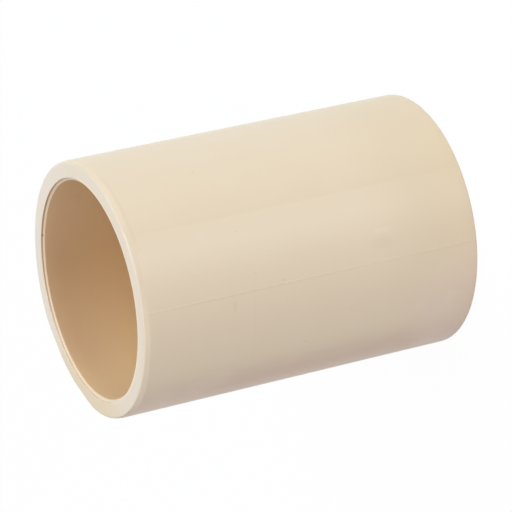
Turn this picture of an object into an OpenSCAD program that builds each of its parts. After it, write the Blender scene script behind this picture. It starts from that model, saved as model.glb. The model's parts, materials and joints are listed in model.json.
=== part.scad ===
// Slip coupling for 3/4 in. CPVC tube. It is one moulded piece: a plain round
// body with a tapered socket in each end and a stop ring between the sockets.
// It stands on one end, with its axis along +Z.

/* [Sockets] */
// Inside diameter of a socket just behind its lead-in
socket_mouth_d = 22.5; // [12:0.01:60]
// How much narrower a socket is at its root, where the tube grips
socket_taper = 0.4; // [0.1:0.01:1]
// Depth of a socket, from the end face to the stop ring
socket_depth = 17.78; // [12:0.01:26]
// Length of the parallel stretch at the root of a socket
root_land = 4.5; // [1.5:0.1:8]
// Radius of the fillet between a socket's wall and the stop ring
root_fillet = 0.3; // [0.1:0.05:0.5]

/* [Lead-in] */
// Width of the lead-in ring, from the socket's wall out onto the end face
lead_in_w = 0.3; // [0.2:0.01:0.8]
// Depth of the square step at the start of the lead-in
step_depth = 0.15; // [0.05:0.01:0.4]
// Length of the chamfer behind that step
chamfer_len = 0.14; // [0.08:0.01:0.8]

/* [Body] */
// Wall thickness round a socket's mouth
wall = 2.1; // [1.5:0.01:3]
// Radius of the outer edge at each end
edge_r = 0.3; // [0.1:0.05:0.6]

/* [Stop ring] */
// Width of the stop ring along the axis
stop_w = 2.44; // [1.2:0.01:5]
// Height of the stop ring above the socket's root
stop_h = 1.15; // [1:0.01:2]
// Radius of the stop ring's two inner edges
stop_edge_r = 0.3; // [0.1:0.05:0.5]

/* [Mould marks] */
// Height of the witness lines where the mould's halves met
witness_h = 0.02; // [0.01:0.01:0.1]
// Width of a witness line
witness_w = 0.25; // [0.15:0.05:0.6]
// Direction of the first witness line, from +X towards +Y; the second is opposite
witness_turn = -105.6; // [-180:0.1:180]
// Depth of the three small flats on the top edge where the gate was trimmed off
gate_depth = 0.52; // [0.2:0.02:0.8]
// Length of those flats down the body, where they run out
gate_len = 2; // [1:0.1:6]
// Direction of the middle flat, from +X towards +Y
gate_turn = 125; // [0:1:360]
// Turn from one of those flats to the next
gate_stroke = 14; // [6:1:20]

/* [Hidden] */
$fn = 128;
cpvc = [0.91, 0.86, 0.77];

mouth_r = socket_mouth_d / 2;
root_r = mouth_r - socket_taper / 2;
body_r = mouth_r + wall;
stop_r = root_r - stop_h;
length = 2 * socket_depth + stop_w;
arc_steps = 5;

// Points of a quarter round about centre c, from angle a to angle a + turn
function quarter(c, r, a, turn) =
    [for (i = [0 : arc_steps]) c + r * [cos(a + turn * i / arc_steps), sin(a + turn * i / arc_steps)]];

// Section of the bottom end as [radius, height], from the outer wall over the
// end face at height 0 and up the socket onto the stop ring
function end_section() = concat(
    quarter([body_r - edge_r, edge_r], edge_r, 0, -90),
    [
        [mouth_r + lead_in_w, 0],
        [mouth_r + lead_in_w, step_depth],
        [mouth_r, step_depth + chamfer_len],
        [root_r, socket_depth - root_land],
    ],
    quarter([root_r - root_fillet, socket_depth - root_fillet], root_fillet, 0, 90),
    quarter([stop_r + stop_edge_r, socket_depth + stop_edge_r], stop_edge_r, -90, -90)
);

// The same section turned over for the top end, in the order that closes the outline
function turned_over(points) =
    [for (i = [len(points) - 1 : -1 : 0]) [points[i][0], length - points[i][1]]];

// Round body with both sockets and the stop ring between them
module sleeve() {
    rotate_extrude() polygon(concat(end_section(), turned_over(end_section())));
}

// Fine ridge along the outside, between the two rounded edges
module witness_line() {
    translate([0, 0, edge_r])
        linear_extrude(height = length - 2 * edge_r)
            polygon([
                [body_r + witness_h, 0],
                [body_r - witness_h, witness_w],
                [body_r - witness_h, -witness_w],
            ]);
}

// Three blocks side by side whose inner faces slice the gate's stub off the top
// edge: each starts gate_depth inside the wall and runs out gate_len further down
module gate_cuts() {
    reach = 2 * body_r;
    slope = atan(gate_depth / gate_len);
    for (stroke = [-1 : 1])
        rotate(gate_turn + stroke * gate_stroke)
            translate([body_r - gate_depth, 0, length])
                rotate([0, -slope, 0])
                    translate([0, -reach / 2, -reach / 2])
                        cube(reach);
}

module coupling() {
    color(cpvc)
    difference() {
        union() {
            sleeve();
            for (turn = [0, 180]) rotate(witness_turn + turn) witness_line();
        }
        gate_cuts();
    }
}

coupling();
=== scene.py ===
"""A moulded CPVC slip coupling, standing on its end on a white floor.

The camera is turned over so that the coupling lies across the picture, its
top end to the left. Lengths are in metres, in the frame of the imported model:
+Z is the coupling's axis, and the picture's upper side is the +X side.
"""

import json
import math
from types import SimpleNamespace

import bmesh
import bpy
import numpy as np
from mathutils import Matrix, Vector


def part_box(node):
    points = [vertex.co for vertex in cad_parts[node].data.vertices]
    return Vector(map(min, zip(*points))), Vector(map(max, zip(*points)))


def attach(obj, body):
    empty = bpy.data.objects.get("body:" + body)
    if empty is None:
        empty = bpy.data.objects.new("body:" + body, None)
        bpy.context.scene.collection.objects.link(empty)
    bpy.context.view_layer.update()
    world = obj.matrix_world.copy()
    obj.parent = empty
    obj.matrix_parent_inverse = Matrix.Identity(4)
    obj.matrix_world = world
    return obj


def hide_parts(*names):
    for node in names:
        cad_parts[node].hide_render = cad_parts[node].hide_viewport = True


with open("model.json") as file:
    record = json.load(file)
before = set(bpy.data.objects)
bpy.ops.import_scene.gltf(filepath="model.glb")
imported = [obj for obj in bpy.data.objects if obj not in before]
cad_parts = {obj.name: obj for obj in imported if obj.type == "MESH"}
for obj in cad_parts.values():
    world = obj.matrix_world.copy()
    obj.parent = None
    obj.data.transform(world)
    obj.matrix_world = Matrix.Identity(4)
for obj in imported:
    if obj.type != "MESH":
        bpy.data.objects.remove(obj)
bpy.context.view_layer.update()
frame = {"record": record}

MM = 0.001

# The camera, placed from the middle of the coupling
CAMERA_OFFSET = (-0.00012, -0.31185, 0.14250)
CAMERA_RIGHT = (-0.2173, -0.4060, -0.8876)
CAMERA_UP = (0.9757, -0.0900, -0.1979)
LENS_MM = 232.6
SENSOR_MM = 36.0

# The section's small forms. The top end's outer edge is a tight round that runs out into
# the wall with a slight facet, and the bottom end's is a plain round.
EDGE_R = 0.17 * MM
FAR_EDGE_R = 0.3 * MM
FACET_W = 0.1 * MM
FACET_LEN = 0.55 * MM
FACET_SOFT_R = 1.0 * MM
LEAD_IN_W = 0.27 * MM
LIP_R = 0.045 * MM  # where the end face turns into the lead-in
STEP_DEPTH = 0.21 * MM
CHAMFER_LEN = 0.12 * MM
SOFT_CORNER_R = 0.04 * MM
SOCKET_TAPER_R = 0.3 * MM  # 0.1 mm more than in the model, as the photo's mouth is wider
SOCKET_DEPTH = 17.78 * MM
ROOT_LAND = 4.5 * MM
STOP_H = 1.15 * MM
STOP_CORNER_R = 0.3 * MM

# Marks left by the mould and by trimming the gate. Turns are from +X towards +Y.
WITNESS_TURN = math.radians(-105.6)
WITNESS_H = 0.012 * MM
WITNESS_W = 0.2 * MM
GATE_TURN = math.radians(126)
GATE_STROKE = math.radians(14)
GATE_DEPTH = 0.54 * MM
GATE_LEN = 2.0 * MM
GATE_EDGE = 0.10 * MM  # softness of the flats' outer edges
GATE_BLEND = 130  # power of the mean that rounds the edges between the strokes

TURNS = 640  # columns of faces round the axis
FINE_TURNS = 15  # further columns across each witness line

# Longest side of a face along the section: by the gate, on plain walls and on the rest
GATE_SIDE = 0.15 * MM
WALL_SIDE = 1.5 * MM
SHORT_SIDE = 0.35 * MM

# Satin, as moulded
ROUGHNESS = 0.36
IOR = 1.5

# Light. The world's colours are its strengths too.
WHITE = (1.0, 1.0, 1.0, 1.0)
AMBIENT = (0.20, 0.20, 0.20, 1.0)
FRONT_LIGHT = (0.90, 0.83, 0.79, 1.0)
REAR_LIGHT = (0.95, 0.92, 0.88, 1.0)
LOW_REAR_LIGHT = (0.56, 0.51, 0.48, 1.0)
LAMP_DISTANCE = 0.6
LAMP_SIZE = 0.5
KEY_WATTS = 1.38
KEY_COLOUR = (0.94, 1.0, 0.96)
LEFT_WATTS = 1.5
LEFT_COLOUR = (0.62, 0.80, 1.0)
FLOOR_COLOUR = (0.85, 0.85, 0.85, 1.0)
FLOOR_HALF = 3.0
FLOOR_DROP = 0.02 * MM  # keeps the floor and the bottom face apart
SHADOW_SHARE = 0.03  # how much of the floor's real shade the camera sees


def srgb(red, green, blue):
    """Linear colour of an 8-bit sRGB one."""
    channels = np.array([red, green, blue]) / 255
    linear = np.where(channels <= 0.04045, channels / 12.92, ((channels + 0.055) / 1.055) ** 2.4)
    return (*[float(c) for c in linear], 1.0)


# Tones of the CPVC, and light and shade painted on it
CREAM = srgb(232, 214, 188)
DEEP_CREAM = srgb(226, 205, 174)
# pale tone of streaks and spots, also used for painted glints and painted reflections
PALE_AND_SHEEN_CREAM = srgb(242, 230, 210)
# the paler band: partly the mould's tone, partly a painted reflection of a soft box
SHEEN_BAND_CREAM = srgb(238, 221, 197)
YELLOW_CREAM = srgb(226, 207, 176)
FAR_CREAM = srgb(221, 203, 171)
# partly painted warm bounce light on the lower side
PINK_BOUNCE_CREAM = srgb(224, 198, 176)
# painted shade where the lower side turns away
LIMB_SHADE_TAN = srgb(203, 171, 148)
MAUVE_CREAM = srgb(238, 217, 203)
# painted shade that dulls the top edge's reflection
RIM_SHADE_CREAM = srgb(226, 207, 181)
# painted highlight on the top facet's lower side
LOW_RIM_LIT_CREAM = srgb(244, 226, 201)
FACE_CREAM = srgb(235, 218, 196)
COOL_CREAM = srgb(236, 221, 203)
GATE_CREAM = srgb(231, 209, 177)
# painted highlight along the lip of the top face
LIP_HIGHLIGHT_PEACH = srgb(253, 232, 200)
# painted shade in the bore, paler deeper in and on the upper side
BORE_SHADE_BROWN = srgb(224, 194, 153)
SHALLOW_SHADE_BROWN = srgb(210, 177, 140)
DEEP_BORE_SHADE_BROWN = srgb(238, 205, 159)
UPPER_BORE_LIT_BROWN = srgb(240, 214, 180)
LEAD_IN_TAN = srgb(231, 211, 184)
# painted shade in the lead-in's step
STEP_SHADE_BROWN = srgb(194, 157, 118)
DIRT = srgb(150, 118, 88)

# Where the body's pale band, partly a painted reflection, stops, from the camera's side upwards
BAND_TURN = math.radians(18.2)
BAND_SOFT = math.radians(0.8)

# Where the lead-in's step is darkest in its painted shade, where it is stained and where a
# light gap breaks it.
# Like BAND_TURN these count from the camera's side.
STEP_DARKEST = math.radians(140)
STEP_STAIN = math.radians(145)
STEP_GAP = math.radians(-160)

# Blots on the body: depth, turn in degrees, half-sizes along and around, share, tone
BODY_BLOTS = [
    (10.0, -20.8, 0.25, 0.75, 0.08, DIRT),
    (27.2, -2.0, 1.30, 0.40, 0.28, PALE_AND_SHEEN_CREAM),
    (26.9, -7.5, 2.00, 0.80, 0.035, DIRT),
    (35.0, -40.0, 1.00, 1.00, 0.22, PALE_AND_SHEEN_CREAM),
    (31.3, -42.0, 0.80, 0.60, 0.18, PALE_AND_SHEEN_CREAM),
    (9.9, 44.0, 0.12, 0.14, 0.18, DIRT),
    (15.7, -14.0, 0.12, 0.12, 0.25, DIRT),
    (18.3, -47.0, 0.14, 0.16, 0.18, DIRT),
    (23.2, -35.0, 0.12, 0.16, 0.15, DIRT),
]


# Shape

def rounded(corners):
    """Outline through the corners, each (r, z, radius, steps). A corner with a radius becomes a
    round that touches both sides: it starts radius * tan(half the turn) before the corner, and
    its points lie on a circle about the corner's inner bisector."""
    points = []
    count = len(corners)
    for i, (r, z, radius, steps) in enumerate(corners):
        here = np.array([r, z])
        if radius == 0:
            points.append(here)
            continue
        before = np.array(corners[i - 1][:2]) - here
        after = np.array(corners[(i + 1) % count][:2]) - here
        before /= np.linalg.norm(before)
        after /= np.linalg.norm(after)
        half = math.acos(float(np.clip(before @ after, -1, 1))) / 2
        reach = radius / math.tan(half)
        middle = here + (before + after) / np.linalg.norm(before + after) * radius / math.sin(half)
        start, end = here + before * reach - middle, here + after * reach - middle
        share = np.linspace(0, 1, steps + 1)[:, None]
        turn = math.pi - 2 * half
        arc = (np.sin((1 - share) * turn) * start + np.sin(share * turn) * end) / math.sin(turn)
        points.extend(middle + arc)
    return np.array(points)


def spread(points, longest):
    """The same closed outline with more points, so that no side is longer than longest(r, z)."""
    out = []
    for here, ahead in zip(points, np.roll(points, -1, axis=0)):
        middle = (here + ahead) / 2
        pieces = max(1, math.ceil(np.linalg.norm(ahead - here) / longest(*middle)))
        share = np.arange(pieces)[:, None] / pieces
        out.append(here + (ahead - here) * share)
    return np.concatenate(out)


def section(body_r, length, root_r):
    """The wall's closed section as (r, z): up the outside, over the top face, down the bore.
    Both ends are the same but for the outer edge, which is plainly round at the bottom."""
    mouth_r = root_r + SOCKET_TAPER_R
    stop_r = root_r - STOP_H
    lead_r = mouth_r + LEAD_IN_W
    lower = [
        (stop_r, SOCKET_DEPTH, STOP_CORNER_R, 6),
        (root_r, SOCKET_DEPTH, STOP_CORNER_R, 6),
        (root_r, SOCKET_DEPTH - ROOT_LAND, 0, 0),
        (mouth_r, STEP_DEPTH + CHAMFER_LEN, SOFT_CORNER_R, 3),
        (lead_r, STEP_DEPTH, SOFT_CORNER_R / 2, 2),
        (lead_r, 0, LIP_R, 4),
        (body_r - FACET_W, 0, EDGE_R, 6),
        (body_r, FACET_LEN, FACET_SOFT_R, 3),
    ]
    upper = [(r, length - z, radius, steps) for r, z, radius, steps in reversed(lower)]
    lower[-2:] = [(body_r, 0, FAR_EDGE_R, 6)]

    def longest(r, z):
        near_top = length - z < GATE_LEN + 1 * MM
        outside = r > body_r - FACET_W - EDGE_R
        if outside and near_top:
            return GATE_SIDE
        return WALL_SIDE if outside or r < mouth_r else SHORT_SIDE

    return spread(rounded(lower + upper), longest)


def coupling_mesh(body_r, length, root_r):
    """Surface of revolution: point (turn, j) is the section's point j turned about the axis.
    The outside has two fine ridges, 180 degrees apart, that rise as a cosine bump of the
    turn. The top edge is held inside the three planes that trimmed the gate: a power mean
    joins the cosines of the turns away from them, and the radius becomes a soft minimum of
    itself and the planes' distance along the point's own direction."""
    profile = section(body_r, length, root_r)
    r, z = profile[:, 0][None, :], profile[:, 1][None, :]
    turn = np.linspace(0, 2 * math.pi, TURNS, endpoint=False)
    across = np.linspace(-1, 1, FINE_TURNS) * WITNESS_W / body_r
    fine = [WITNESS_TURN + across, WITNESS_TURN + math.pi + across]
    turn = np.unique(np.concatenate([turn, *fine]) % (2 * math.pi))[:, None]
    outside = np.clip((r - (body_r - EDGE_R / 2)) / (EDGE_R / 2), 0, 1)
    away = (turn - WITNESS_TURN + math.pi / 2) % math.pi - math.pi / 2
    bump = np.clip(np.abs(away) * body_r / WITNESS_W, 0, 1)
    radius = r + outside * WITNESS_H * (1 + np.cos(math.pi * bump)) / 2
    slice_r = body_r - GATE_DEPTH * (1 - (length - z) / GATE_LEN)
    strokes = [np.cos(turn - GATE_TURN - k * GATE_STROKE).clip(0, 1) for k in (-1, 0, 1)]
    toward = np.sum(np.power(strokes, GATE_BLEND), axis=0) ** (1 / GATE_BLEND)
    plane = np.where(toward > 0.5, slice_r / np.maximum(toward, 0.5), 2 * body_r)
    plane = np.where(r > root_r + 1 * MM, plane, 2 * body_r)
    trimmed = (radius + plane - np.sqrt((radius - plane) ** 2 + GATE_EDGE ** 2)) / 2
    near = np.abs(radius - plane) < 6 * GATE_EDGE
    radius = np.where(near | (plane < radius), trimmed, radius)
    points = np.stack([radius * np.cos(turn), radius * np.sin(turn), z + 0 * turn], axis=-1)
    return grid_mesh("coupling_skin", points)


def grid_mesh(name, points):
    """Mesh of a closed grid of points (turn, section), joined round both ways."""
    rows, columns = points.shape[:2]
    index = np.arange(rows * columns).reshape(rows, columns)
    right, up = np.roll(index, -1, axis=0), np.roll(index, -1, axis=1)
    corner = np.roll(right, -1, axis=1)
    faces = np.stack([index, right, corner, up], axis=-1).reshape(-1, 4)
    mesh = bpy.data.meshes.new(name)
    mesh.from_pydata(points.reshape(-1, 3).tolist(), [], faces.tolist())
    shape = bmesh.new()
    shape.from_mesh(mesh)
    bmesh.ops.recalc_face_normals(shape, faces=shape.faces)
    shape.to_mesh(mesh)
    shape.free()
    mesh.shade_smooth()
    return mesh


# Finish

class Nodes:
    """Short words for building a node tree."""

    def __init__(self, tree):
        self.tree = tree
        tree.nodes.clear()

    def add(self, kind, **settings):
        node = self.tree.nodes.new(kind)
        for name, value in settings.items():
            setattr(node, name, value)
        return node

    def feed(self, socket, value):
        if isinstance(value, bpy.types.NodeSocket):
            self.tree.links.new(value, socket)
        else:
            socket.default_value = value

    def math(self, operation, a, b=0.0):
        node = self.add("ShaderNodeMath", operation=operation)
        self.feed(node.inputs[0], a)
        self.feed(node.inputs[1], b)
        return node.outputs[0]

    def times(self, first, *others):
        for other in others:
            first = self.math("MULTIPLY", first, other)
        return first

    def hypotenuse(self, a, b):
        return self.math("SQRT", self.math("ADD", self.times(a, a), self.times(b, b)))

    def dot(self, vector, direction):
        node = self.add("ShaderNodeVectorMath", operation="DOT_PRODUCT")
        self.feed(node.inputs[0], vector)
        node.inputs[1].default_value = direction
        return node.outputs["Value"]

    def ramp(self, value, low, high, to_low=0.0, to_high=1.0, kind="SMOOTHSTEP"):
        """Smooth step of value from low to high."""
        node = self.add("ShaderNodeMapRange", interpolation_type=kind)
        for socket, number in zip(node.inputs, (value, low, high, to_low, to_high)):
            self.feed(socket, number)
        return node.outputs[0]

    def ramp_line(self, value, low, high, to_low=0.0, to_high=1.0):
        """Straight and clamped map of value from low to high."""
        return self.ramp(value, low, high, to_low, to_high, "LINEAR")

    def band(self, value, centre, half, soft):
        """1 within half of the centre, falling to 0 over soft beyond that."""
        off = self.math("ABSOLUTE", self.math("SUBTRACT", value, centre))
        return self.ramp(off, half, half + soft, 1.0, 0.0)

    def sector(self, turn, start, full, leave, end):
        """1 between the turns full and leave, in degrees, fading to 0 at start and end."""
        start, full, leave, end = (math.radians(a) for a in (start, full, leave, end))
        return self.times(self.ramp(turn, start, full), self.ramp(turn, leave, end, 1.0, 0.0))

    def mix(self, share, a, b):
        node = self.add("ShaderNodeMix", data_type="RGBA")
        self.feed(node.inputs["Factor"], share)
        self.feed(node.inputs[6], a)
        self.feed(node.inputs[7], b)
        return node.outputs[2]

    def split(self, vector):
        node = self.add("ShaderNodeSeparateXYZ")
        self.feed(node.inputs[0], vector)
        return list(node.outputs)

    def scaled(self, vector, scale):
        node = self.add("ShaderNodeMapping")
        self.feed(node.inputs["Vector"], vector)
        node.inputs["Scale"].default_value = scale
        return node.outputs[0]

    def noise(self, vector, scale, detail=3.0, rough=0.5):
        node = self.add("ShaderNodeTexNoise")
        self.feed(node.inputs["Vector"], vector)
        node.inputs["Scale"].default_value = scale
        node.inputs["Detail"].default_value = detail
        node.inputs["Roughness"].default_value = rough
        return node.outputs["Fac"]

    def specks(self, vector, scale, size, share):
        """Round dots of a size in cells, in a share of the cells of a random pattern."""
        node = self.add("ShaderNodeTexVoronoi")
        self.feed(node.inputs["Vector"], vector)
        node.inputs["Scale"].default_value = scale
        chosen = self.math("LESS_THAN", self.split(node.outputs["Color"])[0], share)
        return self.times(chosen, self.ramp(node.outputs["Distance"], size * 0.4, size, 1.0, 0.0))

    def billows(self, vector, scale):
        """Round clouds that lean on each other, 1 in their middles."""
        drift = self.add("ShaderNodeTexNoise")
        self.feed(drift.inputs["Vector"], vector)
        drift.inputs["Scale"].default_value = scale
        warp = self.add("ShaderNodeVectorMath", operation="MULTIPLY_ADD")
        self.feed(warp.inputs[0], drift.outputs["Color"])
        warp.inputs[1].default_value = (0.8 / scale,) * 3
        self.feed(warp.inputs[2], vector)
        cells = self.add("ShaderNodeTexVoronoi", feature="SMOOTH_F1")
        self.feed(cells.inputs["Vector"], warp.outputs[0])
        cells.inputs["Scale"].default_value = scale
        cells.inputs["Smoothness"].default_value = 0.15
        return self.ramp(cells.outputs["Distance"], 0.25, 0.62, 1.0, 0.0)


def locate(n, body_r, length):
    """Where a shaded point is. turn is about the axis from -Y, the camera's side, towards
    +X, the picture's upper side; depth is from the top end."""
    place = n.add("ShaderNodeTexCoord").outputs["Object"]
    x, y, z = n.split(place)
    radius = n.hypotenuse(x, y)
    turn = n.math("ARCTAN2", x, n.times(y, -1.0))
    depth = n.math("SUBTRACT", length, z)
    outside = n.ramp(radius, body_r - 2 * EDGE_R, body_r - EDGE_R)
    return SimpleNamespace(place=place, x=x, radius=radius, turn=turn, depth=depth,
                           outside=outside, body_r=body_r)


def blot(n, at, depth, turn, along, around):
    """1 in the middle of an oval on the body and 0 from its edge on."""
    off_depth = n.times(n.math("SUBTRACT", at.depth, depth), 1 / along)
    off_turn = n.times(n.math("SUBTRACT", at.turn, turn), at.body_r / around)
    return n.times(n.ramp(n.hypotenuse(off_depth, off_turn), 0.4, 1.0, 1.0, 0.0), at.outside)


def moulded_tone(n, at):
    """Cream, faintly clouded, with flow streaks along the axis."""
    streaks = n.noise(n.scaled(at.place, (1, 1, 0.06)), 1600, 4, 0.6)
    mottle = n.noise(at.place, 220, 3)
    colour = n.mix(n.ramp(mottle, 0.35, 0.65, 0.0, 0.12), CREAM, DEEP_CREAM)
    return n.mix(n.ramp(streaks, 0.45, 0.75, 0.0, 0.05), colour, PALE_AND_SHEEN_CREAM)


def body_tone(n, at, colour):
    """Bands on the body: a paler one that stops at BAND_TURN, which is partly the mould's tone
    and partly a painted reflection of a soft box, a yellower one above it, a duller far end, a
    pinker lower side that is partly painted warm bounce light and is painted shade in tan
    where it turns away, and faint pale clouds there that are painted reflections. The step
    between the first two grows with depth."""
    wall = at.outside
    # share of the painted reflection band on the lower side
    low_sheen = n.ramp(at.turn, math.radians(-60), math.radians(-40), 0.0, 0.45)
    step_share = n.ramp(at.depth, 2 * MM, 10 * MM, 0.25, 0.45)
    above = n.ramp(at.turn, BAND_TURN - BAND_SOFT, BAND_TURN + BAND_SOFT)
    # pale: partly the mould's tone, partly a painted reflection of a soft box
    pale = n.times(n.ramp(at.turn, math.radians(-9), math.radians(7), low_sheen, 0.9),
                   n.ramp(at.turn, math.radians(7), BAND_TURN, 1.0, step_share),
                   n.math("SUBTRACT", 1.0, above), wall)
    yellow = n.times(above, n.ramp(at.turn, BAND_TURN, math.radians(34), 0.17, 0.0),
                     step_share, wall)
    far = n.times(n.ramp(at.depth, 24 * MM, 34 * MM, 0.0, 0.45),
                  n.sector(at.turn, -60, 15, 100, 150), wall)
    # where the faint pale clouds, painted reflections, lie on the lower side
    low = n.sector(at.turn, -78, -68, -57, -47)
    # partly painted warm bounce light on the lower side
    pink_and_bounce = n.times(n.sector(at.turn, -165, -85, -75, -45), wall, 0.85)
    # painted shade where the lower side turns away
    limb_shade = n.times(n.sector(at.turn, -130, -82, -72, -46),
                   n.ramp(at.depth, 3 * MM, 11 * MM, 0.3, 0.62), wall)
    mauve = n.times(blot(n, at, 37 * MM, math.radians(-50), 8 * MM, 9 * MM), 0.5)
    colour = n.mix(pale, colour, SHEEN_BAND_CREAM)
    colour = n.mix(yellow, colour, YELLOW_CREAM)
    colour = n.mix(far, colour, FAR_CREAM)
    colour = n.mix(pink_and_bounce, colour, PINK_BOUNCE_CREAM)
    colour = n.mix(limb_shade, colour, LIMB_SHADE_TAN)
    colour = n.mix(mauve, colour, MAUVE_CREAM)
    # faint pale clouds: painted reflections
    return n.mix(n.times(low, n.billows(at.place, 230), wall, 0.15), colour, PALE_AND_SHEEN_CREAM)


def body_marks(n, at, colour):
    """The witness line's dark hairline, a ring mark round the lower side, two smudges, pale
    spots and fine specks."""
    witness = n.band(at.turn, WITNESS_TURN + math.pi / 2, 0.02 * MM / at.body_r,
                     0.07 * MM / at.body_r)
    broken = n.ramp(n.noise(at.place, 900, 3, 0.7), 0.35, 0.6, 0.25, 1.0)
    fading = n.times(n.ramp(at.depth, 1 * MM, 8 * MM, 0.3, 1.0),
                     n.ramp(at.depth, 18 * MM, 24 * MM, 1.0, 0.55))
    colour = n.mix(n.times(witness, broken, fading, at.outside, 0.14), colour, DIRT)
    ring = n.times(n.band(at.depth, 12.2 * MM, 0.02 * MM, 0.06 * MM),
                   n.band(at.turn, math.radians(-43), math.radians(24), math.radians(5)))
    colour = n.mix(n.times(ring, at.outside, 0.035), colour, DIRT)
    for depth, turn, along, around, share, tone in BODY_BLOTS:
        mark = blot(n, at, depth * MM, math.radians(turn), along * MM, around * MM)
        colour = n.mix(n.times(mark, share), colour, tone)
    dots = n.specks(at.place, 420, 0.04, 0.20)
    return n.mix(n.times(dots, at.outside, 0.22), colour, DIRT)


def edge_tone(n, at, colour):
    """The top edge: a warmer, darker round, which is painted shade that dulls its reflection,
    with one painted glint, and a facet that has a painted highlight on the lower side, is
    painted a little darker where it faces the camera, and ends there in a fine line."""
    corner = n.times(n.ramp(at.depth, 0.10 * MM, 0.22 * MM, 1.0, 0.0), at.outside)
    facet = n.times(n.ramp(at.depth, FACET_LEN - 0.05 * MM, FACET_LEN + 0.15 * MM, 1.0, 0.0),
                    at.outside)
    # painted highlight on the facet's lower side
    low = n.sector(at.turn, -82, -55, -28, -4)
    # painted shade where the facet faces the camera
    front_shade = n.sector(at.turn, -11, 1, 15, 27)
    # painted shade that dulls the round's reflection
    corner_shade = n.sector(at.turn, 16, 24, 110, 150)
    # painted glint on the round
    glint = n.sector(at.turn, -12, 10, 18, 22)
    line = n.times(n.band(at.depth, 0.84 * MM, 0.08 * MM, 0.12 * MM), at.outside,
                   n.sector(at.turn, 4, 20, 44, 64))
    colour = n.mix(n.times(corner, corner_shade), colour, RIM_SHADE_CREAM)
    colour = n.mix(n.times(corner, glint), colour, PALE_AND_SHEEN_CREAM)
    colour = n.mix(n.times(line, 0.05), colour, DIRT)
    colour = n.mix(n.times(facet, front_shade, 0.5), colour, RIM_SHADE_CREAM)
    return n.mix(n.times(facet, low), colour, LOW_RIM_LIT_CREAM)


def face_tone(n, at, lead_r, colour):
    """The top face: paler than the body, cooler away from the camera, yellower on the lower
    far side, with a painted highlight beside the lead-in on the camera's side."""
    face = n.times(n.ramp(at.depth, 0.01 * MM, 0.03 * MM, 1.0, 0.0),
                   n.ramp(at.radius, lead_r, lead_r + 0.02 * MM))
    cool = n.math("COSINE", n.math("SUBTRACT", at.turn, math.radians(145)))
    gate = n.math("COSINE", n.math("SUBTRACT", at.turn, math.radians(-120)))
    tone = n.mix(n.ramp(cool, 0.3, 0.9), FACE_CREAM, COOL_CREAM)
    tone = n.mix(n.ramp(gate, 0.70, 0.98), tone, GATE_CREAM)
    # painted highlight beside the lead-in
    lip_highlight = n.times(n.band(at.radius, lead_r + 0.2 * MM, 0.05 * MM, 0.14 * MM),
                  n.sector(at.turn, -85, -50, 60, 85), 0.6)
    return n.mix(face, colour, n.mix(lip_highlight, tone, LIP_HIGHLIGHT_PEACH))


def socket_tone(n, at, mouth_r, lead_r, colour):
    """The bore: brown painted shade, a little paler with depth and painted lighter on its upper
    side. The lead-in's chamfer is between the bore and the face in tone. Its step is the
    darkest painted shade, most of all at STEP_DARKEST, with a small stain at STEP_STAIN and a
    break at STEP_GAP."""
    # Painted shade in the bore: darker towards the turn of 165 degrees, and painted lighter deeper
    # in and on the upper side
    lit = n.math("COSINE", n.math("SUBTRACT", at.turn, math.radians(165)))
    shallow = n.mix(n.ramp(lit, 0.2, 0.9), BORE_SHADE_BROWN, SHALLOW_SHADE_BROWN)
    deep = n.mix(n.ramp(at.depth, 1.0 * MM, 10 * MM), shallow, DEEP_BORE_SHADE_BROWN)
    deep = n.mix(n.ramp(at.x, 0.2 * mouth_r, mouth_r, 0.0, 0.95), deep, UPPER_BORE_LIT_BROWN)
    colour = n.mix(n.ramp(at.radius, lead_r - 0.03 * MM, lead_r, 1.0, 0.0), colour, LEAD_IN_TAN)
    colour = n.mix(n.ramp(at.radius, mouth_r + 0.06 * MM, mouth_r + 0.12 * MM, 1.0, 0.0),
                   colour, deep)
    # painted shade in the step, darkest towards STEP_DARKEST and broken at STEP_GAP
    step_shading = n.times(n.ramp(n.math("COSINE", n.math("SUBTRACT", at.turn, STEP_DARKEST)), 0.4, 1.0,
                          0.0, 0.6),
                   n.math("SUBTRACT", 1.0, n.band(at.turn, STEP_GAP, 0.02, 0.02)))
    step = n.times(n.band(at.radius, lead_r - 0.005 * MM, 0.012 * MM, 0.015 * MM),
                   n.ramp(at.depth, 0.015 * MM, 0.03 * MM), step_shading)
    stain = n.times(n.band(at.turn, STEP_STAIN, 0.004, 0.012),
                    n.band(at.radius, lead_r - 0.06 * MM, 0.05 * MM, 0.05 * MM),
                    n.ramp(at.depth, 0.015 * MM, 0.03 * MM))
    colour = n.mix(step, colour, STEP_SHADE_BROWN)
    return n.mix(n.times(stain, 0.6), colour, DIRT)


def cpvc_finish(body_r, length, root_r):
    """Cream CPVC as it leaves the mould: satin, with a paler end face, and with light and
    shade painted on the body, the top edge, the lip and the browner bore.
    """
    material = bpy.data.materials.new("cream_cpvc")
    material.use_nodes = True
    n = Nodes(material.node_tree)
    at = locate(n, body_r, length)
    mouth_r = root_r + SOCKET_TAPER_R
    lead_r = mouth_r + LEAD_IN_W
    colour = moulded_tone(n, at)
    colour = body_tone(n, at, colour)
    colour = body_marks(n, at, colour)
    colour = edge_tone(n, at, colour)
    colour = face_tone(n, at, lead_r, colour)
    colour = socket_tone(n, at, mouth_r, lead_r, colour)
    shader = n.add("ShaderNodeBsdfPrincipled")
    n.feed(shader.inputs["Base Color"], colour)
    shader.inputs["Roughness"].default_value = ROUGHNESS
    shader.inputs["IOR"].default_value = IOR
    out = n.add("ShaderNodeOutputMaterial")
    n.feed(out.inputs["Surface"], shader.outputs[0])
    return material


# Stage

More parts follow.
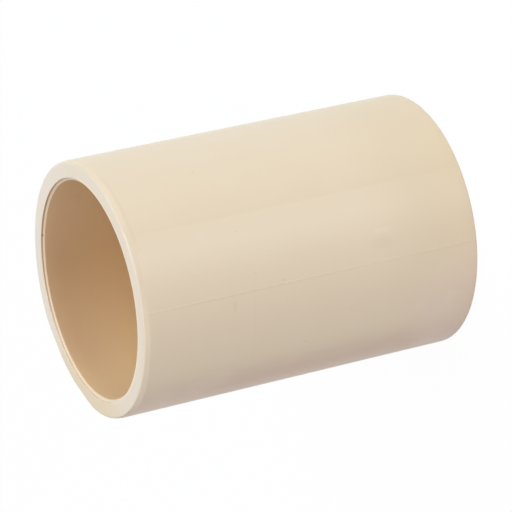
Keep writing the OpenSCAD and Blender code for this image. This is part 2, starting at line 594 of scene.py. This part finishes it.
def seen_directly(n):
    """1 where the camera, a reflection or a clear piece looks at the stage, else 0."""
    path = n.add("ShaderNodeLightPath")
    seen = n.math("MAXIMUM", path.outputs["Is Camera Ray"], path.outputs["Is Glossy Ray"])
    return n.math("MAXIMUM", seen, path.outputs["Is Transmission Ray"])


def white_stage_finish():
    """White where the camera or a reflection sees it, with a share of the real shade left so
    that the coupling's shadow shows."""
    material = bpy.data.materials.new("white_floor")
    material.use_nodes = True
    n = Nodes(material.node_tree)
    seen = seen_directly(n)
    shade = n.add("ShaderNodeBsdfDiffuse")
    n.feed(shade.inputs["Color"], n.mix(seen, FLOOR_COLOUR, WHITE))
    white = n.add("ShaderNodeEmission")
    white.inputs["Strength"].default_value = 1.0
    mixed = n.add("ShaderNodeMixShader")
    n.feed(mixed.inputs[0], n.math("MULTIPLY", seen, 1 - SHADOW_SHARE))
    n.feed(mixed.inputs[1], shade.outputs[0])
    n.feed(mixed.inputs[2], white.outputs[0])
    out = n.add("ShaderNodeOutputMaterial")
    n.feed(out.inputs["Surface"], mixed.outputs[0])
    return material


def add_floor():
    mesh = bpy.data.meshes.new("floor")
    corners = [(-1, -1), (1, -1), (1, 1), (-1, 1)]
    points = [(x * FLOOR_HALF, y * FLOOR_HALF, -FLOOR_DROP) for x, y in corners]
    mesh.from_pydata(points, [], [(0, 1, 2, 3)])
    floor = bpy.data.objects.new("floor", mesh)
    bpy.context.scene.collection.objects.link(floor)
    mesh.materials.append(white_stage_finish())


def add_world(up, back):
    """White to the camera and to reflections. As light it is soft and stronger from the
    camera's side and from the far side than from round the edges, by the cosine. The far
    side's light fades towards the picture's lower side."""
    world = bpy.data.worlds.new("studio")
    bpy.context.scene.world = world
    world.use_nodes = True
    n = Nodes(world.node_tree)
    direction = n.add("ShaderNodeTexCoord").outputs["Generated"]
    facing = n.dot(direction, back)
    height = n.dot(direction, up)
    light = n.mix(n.ramp_line(facing, 0, 1), AMBIENT, FRONT_LIGHT)
    rear = n.mix(n.ramp(height, -0.8, 0.3), LOW_REAR_LIGHT, REAR_LIGHT)
    light = n.mix(n.ramp_line(facing, 0, -1), light, rear)
    colour = n.mix(seen_directly(n), light, WHITE)
    shown = n.add("ShaderNodeBackground")
    n.feed(shown.inputs["Color"], colour)
    out = n.add("ShaderNodeOutputWorld")
    n.feed(out.inputs["Surface"], shown.outputs[0])


def add_lamp(name, direction, watts, colour, aim):
    """Square soft box that looks at aim along a direction."""
    lamp = bpy.data.lights.new(name, "AREA")
    lamp.shape = "SQUARE"
    lamp.size = LAMP_SIZE
    lamp.energy = watts
    lamp.color = colour
    box = bpy.data.objects.new(name, lamp)
    bpy.context.scene.collection.objects.link(box)
    box.location = aim + direction.normalized() * LAMP_DISTANCE
    box.rotation_euler = (aim - box.location).to_track_quat("-Z", "Y").to_euler()


def add_camera(middle):
    right, up = Vector(CAMERA_RIGHT).normalized(), Vector(CAMERA_UP)
    back = right.cross(up).normalized()
    up = back.cross(right)
    lens = bpy.data.cameras.new("camera")
    lens.lens = LENS_MM
    lens.sensor_width = SENSOR_MM
    lens.clip_start = 0.01
    camera = bpy.data.objects.new("camera", lens)
    bpy.context.scene.collection.objects.link(camera)
    turn = Matrix((right, up, back)).transposed().to_4x4()
    camera.matrix_world = Matrix.Translation(middle + Vector(CAMERA_OFFSET)) @ turn
    bpy.context.scene.camera = camera
    return right, up, back


def main():
    scene = bpy.context.scene
    scene.view_settings.view_transform = "Standard"
    low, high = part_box("coupling")
    length = high.z - low.z
    body_r = (high.x - low.x) / 2
    mounts = {m["name"]: m for m in frame["record"]["mounts"]}
    root_r = mounts["socket_top"]["dims"]["r_mm"] * MM

    coupling = bpy.data.objects.new("coupling_skin", coupling_mesh(body_r, length, root_r))
    scene.collection.objects.link(coupling)
    coupling.data.materials.append(cpvc_finish(body_r, length, root_r))
    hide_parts("coupling")
    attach(coupling, "root")

    middle = Vector((0, 0, length / 2))
    right, up, back = add_camera(middle)
    add_floor()
    add_world(up, back)
    add_lamp("key", up + back - right * 0.9, KEY_WATTS, KEY_COLOUR, middle)
    add_lamp("left", back * 0.5 + up * 0.2 - right, LEFT_WATTS, LEFT_COLOUR, middle)


main()
